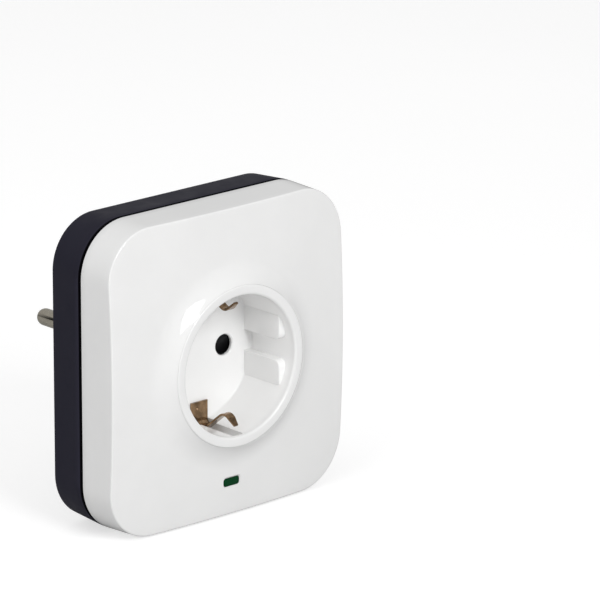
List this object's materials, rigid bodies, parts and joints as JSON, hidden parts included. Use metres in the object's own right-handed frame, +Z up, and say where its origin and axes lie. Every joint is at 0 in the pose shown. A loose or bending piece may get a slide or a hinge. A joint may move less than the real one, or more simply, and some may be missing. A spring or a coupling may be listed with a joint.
{
  "type": "surge protected socket adapter",
  "caption": "Plug-in surge protected socket adapter with an earthed socket well in front, a wall plug behind and line jacks in its side.",
  "frame": {"origin": "plug engagement face, midway between the two plug pins", "axes": "+Y along the plug pins into the wall, +X towards the side with the line jacks, +Z up"},
  "size_m": [0.0838, 0.0722, 0.0864],
  "materials": {
    "white_gloss": "fine satin gloss, moulded",
    "dark_shell": "fine matte moulded anthracite",
    "black_plastic": "moulded black",
    "white_inner": "moulded white",
    "nickel": "nickel-plated brass",
    "bronze": "spring bronze, dull nickel-brown",
    "brass": "stamped brass",
    "gold_contact": "gold-plated spring wire",
    "steel": "zinc-plated steel",
    "green_lens": "deep green translucent",
    "clear_plastic": "clear acrylic",
    "circuit_board": "green solder resist",
    "blue_epoxy": "dipped epoxy",
    "yellow_case": "moulded capacitor case",
    "fuse_ceramic": "unglazed ceramic body"
  },
  "bodies": {
    "case": {"front_cover": "white_gloss", "rear_cover": "dark_shell", "socket_well": "white_gloss", "status_lens": "green_lens", "light_pipe": "clear_plastic", "status_led": "clear_plastic", "shutter_spring": "steel", "shutter_cover": "white_inner", "earth_bridge": "bronze", "live_contact": "brass", "neutral_contact": "brass", "live_pin": "nickel", "neutral_pin": "nickel", "contact_carrier": "black_plastic", "plug_earth_strip_top": "nickel", "plug_earth_strip_bottom": "nickel", "earth_sleeve": "brass", "earth_rivets": "nickel", "live_busbar": "brass", "neutral_busbar": "brass", "surge_board": "circuit_board", "varistor_live_neutral": "blue_epoxy", "varistor_live_earth": "blue_epoxy", "varistor_neutral_earth": "blue_epoxy", "thermal_fuse": "fuse_ceramic", "line_fuse": "fuse_ceramic", "suppression_capacitor": "yellow_case", "mains_discharge_tube": "fuse_ceramic", "line_discharge_tubes": "fuse_ceramic", "line_diodes": "black_plastic", "dropper_resistors": "fuse_ceramic", "jack_in": "black_plastic", "jack_out": "black_plastic", "case_screws": "steel", "board_screws": "steel", "carrier_screws": "steel"},
    "shutter_slider": {"shutter": "black_plastic"},
    "top_earth_clip": {"earth_clip_top": "bronze"},
    "bottom_earth_clip": {"earth_clip_bottom": "bronze"},
    "jack_in_springs": {"jack_in_contacts": "gold_contact"},
    "jack_out_springs": {"jack_out_contacts": "gold_contact"}
  },
  "joints": [
    {"name": "shutter_slide", "type": "slide", "parent": "case", "child": "shutter_slider", "axis": [0, 0, 1], "range_m": [0, 0.0065], "stiffness_N_per_m": 60, "springref_m": -0.004, "deforming": ["shutter_spring"]},
    {"name": "top_clip_flex", "type": "hinge", "parent": "case", "child": "top_earth_clip", "pos_m": [0, -0.0388, 0.02045], "axis": [-1, 0, 0], "range_deg": [0, 15.5], "stiffness_Nm_per_rad": 0.3, "springref_deg": -2.86},
    {"name": "bottom_clip_flex", "type": "hinge", "parent": "case", "child": "bottom_earth_clip", "pos_m": [0, -0.0388, -0.02045], "axis": [1, 0, 0], "range_deg": [0, 15.5], "stiffness_Nm_per_rad": 0.3, "springref_deg": -2.86},
    {"name": "jack_in_flex", "type": "hinge", "parent": "case", "child": "jack_in_springs", "pos_m": [0.0384, -0.0423, 0.00755], "axis": [0, 0, 1], "range_deg": [0, 13], "stiffness_Nm_per_rad": 0.2, "springref_deg": -2.86},
    {"name": "jack_out_flex", "type": "hinge", "parent": "case", "child": "jack_out_springs", "pos_m": [0.0384, -0.0423, -0.00755], "axis": [0, 0, 1], "range_deg": [0, 13], "stiffness_Nm_per_rad": 0.2, "springref_deg": -2.86}
  ]
}
